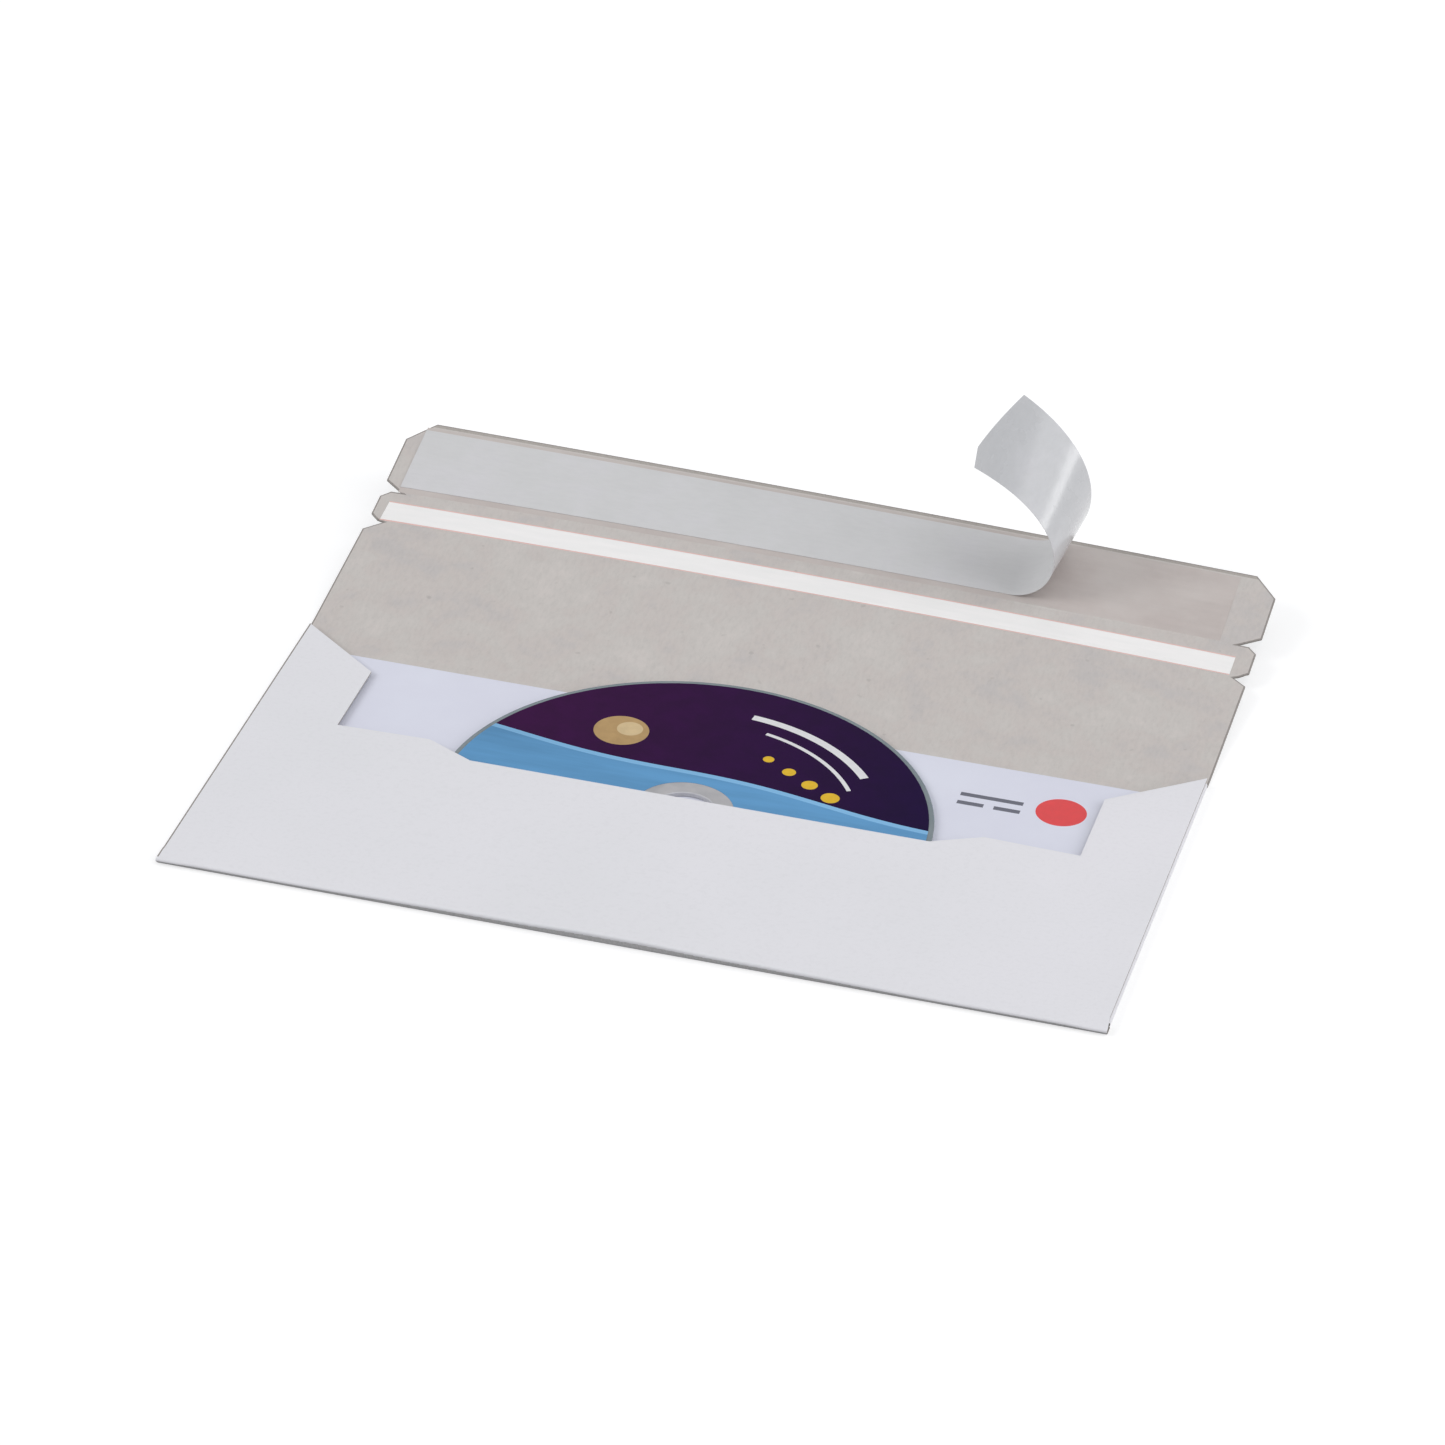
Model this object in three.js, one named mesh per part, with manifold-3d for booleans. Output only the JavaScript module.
// A solid-board disc mailer lying open: a folded sheet with a pocket, a letter and a disc in the pocket,
// a tear tape, and a glued closure flap whose release liner is half peeled and curls up.
// Lengths are in millimetres. X runs across the mailer, Y from the bottom fold to the flap, and Z is up.
import * as THREE from 'three';
import { mergeVertices } from 'three/addons/utils/BufferGeometryUtils.js';
import Module from 'manifold-3d';

const wasm = await Module();
wasm.setup();
const radians = THREE.MathUtils.degToRad;

// Board
const boardWidth = 229;
const board = 0.5;
const halfWidth = boardWidth / 2;

// Lengths along the open sheet, from the bottom fold to the end of the flap
const bodyDepth = 160;
const shoulder = 5;
const tearStrip = 11.3;
const flapDepth = 28.2;
const tearRow = bodyDepth + shoulder;
const flapRow = tearRow + tearStrip;
const flapEnd = flapRow + flapDepth;

// Notches beside the two creases, the pull tab between them, and the flap's cut corners
const notchDepth = 5.5;
const flapCornerRise = 4.2;
const tabInset = 0.2;
const tabCorner = 2.2;
const chamferAcross = 6.2;
const chamferAlong = 7.5;

// Pocket front: the lip, the thumb notch in it and the two wings beside it
const lipRow = 71;
const thumbDepth = 5.3;
const thumbTop = 131;
const thumbSlope = 9;
const wingWidth = 22;
const wingInnerRow = 98;
const wingOuterRow = 116;
const frontInset = 0.4;

// Glued side flaps, folded in under the pocket front
const sideFlapWidth = 14;
const sideFlapLow = 4;
const sideFlapSetback = 1.5;
const sideFlapTaper = 2;
const seamWidth = 8;
const seamInset = 3;
const seamLow = 10;
const seamSetback = 12;
const seamThickness = 0.1;

// Letter, a sheet folded in three
const letterWidth = 210;
const letterHeight = 105;
const letterInnerPanel = 87;
const letterGap = 1.2;
const paper = 0.1;
const paperGap = 0.05;

// Disc
const discDiameter = 120;
const discHole = 15;
const discThickness = 1.2;
const discEdge = 0.2;
const discOffset = -2.5;
const discGap = 1;
const grooveRadius = 17;
const grooveWidth = 0.8;
const grooveDepth = 0.12;

// Flap adhesive, its liner, and the tear tape
const stripLength = 219;
const stripWidth = 23.6;
const stripSetback = 2.3;
const adhesiveThickness = 0.1;
const linerThickness = 0.12;
const tapeLeft = 111.5;
const tapeRight = 109.3;
const tapeWidth = 6.3;
const tapeSetback = 2;
const tapeThickness = 0.1;

// Peeled end of the liner: it rolls up at one radius, straightens out, and twists a little
const peelX = 50.6;
const curlRadius = 13.5;
const curlRound = 17.2;
const curlFade = 57.8;
const curlSlant = -0.45;
const curlStep = 1;

// Clearances between pieces that lie on each other
const slack = 0.05;
const discSlack = 0.1;

// How the open part lifts off the table: three bends, a small twist, and an arch across the sheet
const bends = [
  { row: 118, spread: 8, turn: radians(5.5) },
  { row: tearRow, spread: 1.5, turn: radians(3.2) },
  { row: flapRow, spread: 1.5, turn: radians(2.4) },
];
const twistRate = -2.3e-4;
const arch = 1.4;
const flapArch = 0.65;

// Fineness of the curved sheets
const acrossSteps = 24;
const frontSteps = 13;
const foldSegments = 8;

// Heights of the stack in the pocket
const letterBase = board + slack;
const letterStack = 3 * paper + 2 * paperGap;
const discBase = letterBase + letterStack + slack;
const sideFlapTop = discBase + board;
const frontLow = sideFlapTop + seamThickness + 2 * slack;
const frontHigh = discBase + discThickness + discSlack;
const foldRadius = (frontLow + board) / 2;
const discCentre = { x: discOffset, y: discGap + discDiameter / 2 };

// Place and tilt of the sheet's underside at a row, without the twist and the arch
function lie(row) {
  let y = 0;
  let z = 0;
  let tilt = 0;
  let at = 0;
  for (const { row: middle, spread, turn } of bends) {
    const start = middle - spread / 2;
    if (row <= start) break;
    y += (start - at) * Math.cos(tilt);
    z += (start - at) * Math.sin(tilt);
    const run = Math.min(row - start, spread);
    const rate = turn / spread;
    const next = tilt + rate * run;
    y += (Math.sin(next) - Math.sin(tilt)) / rate;
    z += (Math.cos(tilt) - Math.cos(next)) / rate;
    tilt = next;
    at = start + run;
  }
  y += (row - at) * Math.cos(tilt);
  z += (row - at) * Math.sin(tilt);
  return { y, z, tilt };
}

const liftStart = lie(bends[0].row).y;
const tearY = lie(tearRow).y;
const flapEndY = lie(flapEnd).y;

// Height that the twist and the arch add to the open part
function warp(x, y) {
  if (y <= liftStart) return 0;
  const up = THREE.MathUtils.smoothstep(y, liftStart, tearY);
  const past = THREE.MathUtils.clamp((y - tearY) / (flapEndY - tearY), 0, 1);
  const crown = arch * up + (flapArch - arch) * past;
  return twistRate * x * (y - liftStart) + crown * (1 - (x / halfWidth) ** 2);
}

// Height by which the disc pushes up the pocket front
function bulge(x, y) {
  const away = Math.hypot(x - discCentre.x, y - discCentre.y);
  const full = discDiameter / 2 + discGap;
  const none = halfWidth - sideFlapWidth;
  return (frontHigh - frontLow) * (1 - THREE.MathUtils.smoothstep(away, full, none));
}

// A point of the open sheet, from its place across, its row and its height above the underside
function deck(x, row, height) {
  const { y, z, tilt } = lie(row);
  const py = y - height * Math.sin(tilt);
  return new THREE.Vector3(x, py, z + height * Math.cos(tilt) + warp(x, py));
}

// Moves every vertex of a geometry through a function that changes it in place
function reshape(geometry, move) {
  const position = geometry.attributes.position;
  const point = new THREE.Vector3();
  for (let i = 0; i < position.count; i += 1) {
    point.fromBufferAttribute(position, i);
    move(point);
    position.setXYZ(i, point.x, point.y, point.z);
  }
  return geometry;
}

// Welds a geometry into a closed mesh of positions alone
function weld(geometry) {
  const bare = geometry.clone();
  bare.deleteAttribute('normal');
  bare.deleteAttribute('uv');
  return mergeVertices(bare, 1e-5);
}

function toSolid(geometry) {
  const welded = weld(geometry);
  const vertProperties = new Float32Array(welded.attributes.position.array);
  const triVerts = new Uint32Array(welded.index.array);
  return new wasm.Manifold(new wasm.Mesh({ numProp: 3, vertProperties, triVerts }));
}

function toGeometry(solid) {
  const { vertProperties, triVerts } = solid.getMesh();
  const geometry = new THREE.BufferGeometry();
  geometry.setAttribute('position', new THREE.BufferAttribute(vertProperties, 3));
  geometry.setIndex(new THREE.BufferAttribute(triVerts, 1));
  geometry.computeVertexNormals();
  return geometry;
}

function outline(points) {
  return new THREE.Shape(points.map(([a, b]) => new THREE.Vector2(a, b)));
}

// An upright cutter over an outline in the X-Y plane
function prism(points, low, high) {
  const geometry = new THREE.ExtrudeGeometry(outline(points), { depth: high - low, bevelEnabled: false });
  return toSolid(geometry.translate(0, 0, low));
}

// A section drawn as (Y, Z) and drawn out across the mailer
function acrossSheet(section, length, steps) {
  const settings = { depth: length, steps, bevelEnabled: false, curveSegments: foldSegments };
  const geometry = new THREE.ExtrudeGeometry(section, settings);
  const turn = new THREE.Matrix4().makeBasis(
    new THREE.Vector3(0, 1, 0), new THREE.Vector3(0, 0, 1), new THREE.Vector3(1, 0, 0));
  return geometry.applyMatrix4(turn).translate(-length / 2, 0, 0);
}

function mirrored(points) {
  return points.map(([x, y]) => [-x, y]).reverse();
}

// Rows at which the open sheet's faces get a line of vertices
function sheetRows() {
  const rows = [];
  for (const { row, spread } of bends) {
    for (const part of [-0.5, 0, 0.5]) rows.push(row + part * spread);
  }
  const inner = [1, 2, 3].map((k) => bends[0].row + (k / 4) * (tearRow - bends[0].row));
  return [...rows, ...inner, (flapRow + flapEnd) / 2, flapEnd].sort((a, b) => a - b);
}

// The folded sheet's section, from the end of the pocket front round the bottom fold to the flap's end
function sheetSection() {
  const section = new THREE.Shape();
  const frontEnd = wingOuterRow + 1;
  const frontRow = (k) => foldRadius + (k / frontSteps) * (frontEnd - foldRadius);
  section.moveTo(frontEnd, frontLow + board);
  for (let k = frontSteps - 1; k >= 0; k -= 1) section.lineTo(frontRow(k), frontLow + board);
  section.absarc(foldRadius, foldRadius, foldRadius, Math.PI / 2, 1.5 * Math.PI, false);
  const rows = sheetRows();
  const side = (row, height) => {
    const { y, z, tilt } = lie(row);
    section.lineTo(y - height * Math.sin(tilt), z + height * Math.cos(tilt));
  };
  for (const row of rows) side(row, 0);
  for (const row of [...rows].reverse()) side(row, board);
  section.lineTo(foldRadius, board);
  section.absarc(foldRadius, foldRadius, foldRadius - board, 1.5 * Math.PI, Math.PI / 2, true);
  for (let k = 1; k <= frontSteps; k += 1) section.lineTo(frontRow(k), frontLow);
  return section;
}

function shapeSheetPoint(point) {
  if (point.y > liftStart) {
    point.z += warp(point.x, point.y);
    return;
  }
  const share = THREE.MathUtils.clamp((point.z - board) / (frontLow - board), 0, 1);
  point.z += share * bulge(point.x, point.y);
}

// Everything above the lip line that is cut away from the pocket front
function mouthCutter() {
  const inner = halfWidth - wingWidth;
  const slope = (wingOuterRow - wingInnerRow) / wingWidth;
  const right = [
    [thumbTop / 2 - thumbSlope, lipRow - thumbDepth],
    [thumbTop / 2, lipRow],
    [inner, lipRow],
    [inner, wingInnerRow],
    [halfWidth + 1, wingOuterRow + slope],
    [halfWidth + 1, wingOuterRow + 2],
  ];
  const floor = sideFlapTop + slack + seamThickness / 2;
  return prism([...right, ...mirrored(right)], floor, frontHigh + 5);
}

// The waste beside one edge of the open sheet: both notches with the tab between them
function notchCutter(side) {
  const out = halfWidth + 2;
  const tip = halfWidth - tabInset;
  const points = [
    [out, bodyDepth], [halfWidth, bodyDepth], [halfWidth - notchDepth, tearRow], [tip - tabCorner, tearRow],
    [tip, tearRow + tabCorner], [tip, flapRow - tabCorner], [tip - tabCorner, flapRow],
    [halfWidth - notchDepth, flapRow], [halfWidth, flapRow + flapCornerRise], [out, flapRow + flapCornerRise],
  ];
  return onSide(points, side);
}

function flapCornerCutter(side) {
  const out = halfWidth + 2;
  const points = [
    [out, flapEnd - chamferAlong], [halfWidth, flapEnd - chamferAlong], [halfWidth - chamferAcross, flapEnd],
    [halfWidth - chamferAcross, flapEnd + 2], [out, flapEnd + 2],
  ];
  return onSide(points, side);
}

// Stands a cutter on rows of the open sheet, on the right (1) or the left (-1)
function onSide(points, side) {
  const placed = points.map(([x, row]) => [side * x, lie(row).y]);
  return prism(side > 0 ? placed : placed.reverse(), -1, 40);
}

// One glued side flap, with the fold that joins it to the back panel
function sideFlap(side) {
  const radius = sideFlapTop / 2;
  const overlap = 3;
  const x = (across) => side * (halfWidth - across);
  const section = new THREE.Shape();
  const high = wingOuterRow - sideFlapSetback;
  section.moveTo(x(radius + overlap), 0);
  section.lineTo(x(radius), 0);
  for (const [size, low, high, step] of [[radius, -90, 90, 1], [radius - board, 90, -90, -1]]) {
    for (let k = 0; k <= foldSegments; k += 1) {
      const angle = radians(low + (k / foldSegments) * (high - low));
      section.lineTo(x(radius - size * Math.cos(angle)), radius + size * Math.sin(angle));
    }
    if (step > 0) {
      section.lineTo(x(sideFlapWidth), sideFlapTop);
      section.lineTo(x(sideFlapWidth), discBase);
    }
  }
  section.lineTo(x(radius + overlap), board);
  const geometry = new THREE.ExtrudeGeometry(section, { depth: high - sideFlapLow, bevelEnabled: false });
  geometry.rotateX(Math.PI / 2).translate(0, high, 0);
  return toSolid(geometry).subtract(sideFlapEnds(side, radius));
}

// Slanted cuts at both ends of a side flap, clear of its fold
function sideFlapEnds(side, radius) {
  const slope = (wingOuterRow - wingInnerRow) / wingWidth;
  const high = wingOuterRow - sideFlapSetback;
  const outer = halfWidth - 2 * radius;
  const inner = halfWidth - sideFlapWidth - 1;
  const drop = slope * (outer - inner);
  const top = [[outer, high], [outer, high + 1], [inner, high + 1], [inner, high - drop]];
  const low = [
    [outer, sideFlapLow], [inner, sideFlapLow + sideFlapTaper], [inner, sideFlapLow - 1], [outer, sideFlapLow - 1],
  ];
  const floor = (board + discBase) / 2;
  const cut = (points) => prism(side > 0 ? points : mirrored(points), floor, sideFlapTop + 1);
  return cut(top).add(cut(low));
}

// The board beside the pocket that the side folds replace, and the trim of the pocket front's edges
function sideTrim(side) {
  const radius = sideFlapTop / 2;
  const high = wingOuterRow - sideFlapSetback;
  const strip = (inset, low, end, bottom, top) => {
    const points = [
      [halfWidth - inset, low], [halfWidth + 1, low], [halfWidth + 1, end], [halfWidth - inset, end],
    ];
    return prism(side > 0 ? points : mirrored(points), bottom, top);
  };
  const backEdge = strip(radius, sideFlapLow, high, -1, (board + sideFlapTop) / 2);
  const frontEdge = strip(frontInset, foldRadius, wingOuterRow + 2, sideFlapTop + slack, frontHigh + 5);
  return backEdge.add(frontEdge);
}

function foldedSheet() {
  const ribbon = reshape(weld(acrossSheet(sheetSection(), boardWidth, acrossSteps)), shapeSheetPoint);
  let sheet = toSolid(ribbon).subtract(mouthCutter());
  for (const side of [-1, 1]) {
    sheet = sheet.subtract(notchCutter(side)).subtract(flapCornerCutter(side));
    sheet = sheet.subtract(sideTrim(side)).add(sideFlap(side));
  }
  return toGeometry(sheet);
}

// A thin strip that lies on the open sheet between two places across and two rows
function laidStrip(left, right, lowRow, highRow, base, thickness, steps) {
  const geometry = new THREE.BoxGeometry(right - left, highRow - lowRow, thickness, steps, 2, 1);
  geometry.translate((left + right) / 2, (lowRow + highRow) / 2, base + thickness / 2);
  return reshape(geometry, (point) => point.copy(deck(point.x, point.y, point.z)));
}

function adhesiveStrip() {
  const low = flapRow + stripSetback;
  return laidStrip(-stripLength / 2, stripLength / 2, low, low + stripWidth, board + slack,
    adhesiveThickness, acrossSteps);
}

function tearTape() {
  const low = tearRow + tapeSetback;
  return laidStrip(-tapeLeft, tapeRight, low, low + tapeWidth, board + slack, tapeThickness, acrossSteps);
}

// Walks along the peeled liner's middle line: its place and its frame at a length from the peel line
function curlFrame(length, start) {
  const place = start.place.clone();
  const along = start.along.clone();
  const normal = start.normal.clone();
  const across = new THREE.Vector3();
  const turn = new THREE.Vector3();
  const peeled = stripLength / 2 - peelX;
  const steps = Math.max(1, Math.ceil(length / curlStep));
  const step = length / steps;
  for (let k = 0; k < steps; k += 1) {
    const at = (k + 0.5) * step;
    const fade = THREE.MathUtils.clamp((curlFade - at) / (curlFade - curlRound), 0, 1);
    const curvature = fade / curlRadius;
    const slant = curlSlant * (at / peeled);
    across.crossVectors(along, normal);
    turn.copy(across).addScaledVector(along, slant).multiplyScalar(curvature);
    const angle = turn.length() * step;
    place.addScaledVector(along, step / 2);
    if (angle > 0) {
      turn.normalize();
      along.applyAxisAngle(turn, angle);
      normal.applyAxisAngle(turn, angle);
    }
    place.addScaledVector(along, step / 2);
  }
  across.crossVectors(along, normal);
  return { place, along, normal, across };
}

// The liner: stuck down as far as the peel line, then rolled up and back
function releaseLiner() {
  const low = flapRow + stripSetback;
  const middleRow = low + stripWidth / 2;
  const base = board + 2 * slack + adhesiveThickness;
  const peeled = stripLength / 2 - peelX;
  const place = deck(peelX, middleRow, base);
  const along = deck(peelX + 1, middleRow, base).sub(place).normalize();
  const back = deck(peelX, middleRow + 1, base).sub(place).normalize();
  const normal = new THREE.Vector3().crossVectors(along, back).normalize();
  const start = { place, along, normal };
  const geometry = new THREE.BoxGeometry(stripLength, stripWidth, linerThickness, 60, 4, 1);
  geometry.translate(0, 0, linerThickness / 2);
  return reshape(geometry, (point) => {
    const { x, y, z } = point;
    if (x <= peelX) {
      point.copy(deck(x, middleRow + y, base + z));
      return;
    }
    const length = (x - peelX) / (1 - (curlSlant * y) / peeled);
    const frame = curlFrame(length, start);
    const slant = curlSlant * (length / peeled);
    point.copy(frame.place).addScaledVector(frame.normal, z);
    point.addScaledVector(frame.across, -y).addScaledVector(frame.along, -y * slant);
  });
}

// A sheet of paper folded in three: the inner panel lies between the other two
function letter() {
  const low = letterGap;
  const high = letterGap + letterHeight;
  const level = (k) => letterBase + k * (paper + paperGap);
  const outerRadius = letterStack / 2;
  const innerRadius = (2 * paper + paperGap) / 2;
  const topFold = { y: high - outerRadius, z: letterBase + outerRadius };
  const lowFold = { y: low + innerRadius, z: letterBase + innerRadius };
  const section = new THREE.Shape();
  section.moveTo(low + paper, level(2) + paper);
  section.lineTo(low + paper, level(2));
  section.lineTo(topFold.y, level(2));
  section.absarc(topFold.y, topFold.z, outerRadius - paper, Math.PI / 2, -Math.PI / 2, true);
  section.lineTo(lowFold.y, level(0) + paper);
  section.absarc(lowFold.y, lowFold.z, innerRadius - paper, 1.5 * Math.PI, Math.PI / 2, true);
  section.lineTo(low + letterInnerPanel, level(1));
  section.lineTo(low + letterInnerPanel, level(1) + paper);
  section.lineTo(lowFold.y, level(1) + paper);
  section.absarc(lowFold.y, lowFold.z, innerRadius, Math.PI / 2, 1.5 * Math.PI, false);
  section.lineTo(topFold.y, level(0));
  section.absarc(topFold.y, topFold.z, outerRadius, -Math.PI / 2, Math.PI / 2, false);
  return acrossSheet(section, letterWidth, 1);
}

function disc() {
  const rim = discDiameter / 2;
  const groove = [grooveRadius + grooveWidth / 2, grooveRadius - grooveWidth / 2];
  const profile = [
    [discHole / 2, 0], [rim - discEdge, 0], [rim, discEdge], [rim, discThickness - discEdge],
    [rim - discEdge, discThickness], [groove[0], discThickness], [groove[0], discThickness - grooveDepth],
    [groove[1], discThickness - grooveDepth], [groove[1], discThickness], [discHole / 2, discThickness],
    [discHole / 2, 0],
  ];
  const points = profile.map(([radius, height]) => new THREE.Vector2(radius, height));
  return new THREE.LatheGeometry(points, 72).rotateX(Math.PI / 2);
}

// The glue between one side flap and the pocket front
function glueSeam() {
  const high = wingOuterRow - seamSetback;
  const geometry = new THREE.BoxGeometry(seamWidth, high - seamLow, seamThickness);
  return geometry.translate(0, (high + seamLow) / 2, sideFlapTop + slack + seamThickness / 2);
}

const finishes = {
  board: { color: 0xdcdde1, roughness: 0.75, metalness: 0 },
  letter: { color: 0xd8dae8, roughness: 0.85, metalness: 0 },
  disc: { color: 0x301248, roughness: 0.2, metalness: 0 },
  adhesive: { color: 0xbab0ac, roughness: 0.3, metalness: 0 },
  liner: { color: 0xc9cbce, roughness: 0.45, metalness: 0 },
  tape: { color: 0xe8e8e9, roughness: 0.4, metalness: 0 },
  glue: { color: 0xd9cfa8, roughness: 0.5, metalness: 0 },
};

function piece(name, geometry, finish) {
  const mesh = new THREE.Mesh(geometry, new THREE.MeshStandardMaterial(finishes[finish]));
  mesh.name = name;
  return mesh;
}

const mailer = new THREE.Group();
const discMesh = piece('disc', disc(), 'disc');
discMesh.position.set(discCentre.x, discCentre.y, discBase);
mailer.add(
  piece('folded_sheet', foldedSheet(), 'board'),
  piece('letter', letter(), 'letter'),
  discMesh,
  piece('adhesive_strip', adhesiveStrip(), 'adhesive'),
  piece('release_liner', releaseLiner(), 'liner'),
  piece('tear_tape', tearTape(), 'tape'),
);
for (const [side, label] of [[-1, 'left'], [1, 'right']]) {
  const seam = piece(`glue_seam_${label}`, glueSeam(), 'glue');
  seam.position.x = side * (halfWidth - seamInset - seamWidth / 2);
  mailer.add(seam);
}

// The origin is at the middle of the footprint, on the table
const extent = new THREE.Box3().setFromObject(mailer);
const middle = extent.getCenter(new THREE.Vector3());
mailer.position.set(-middle.x, -middle.y, -extent.min.z);

export default mailer;
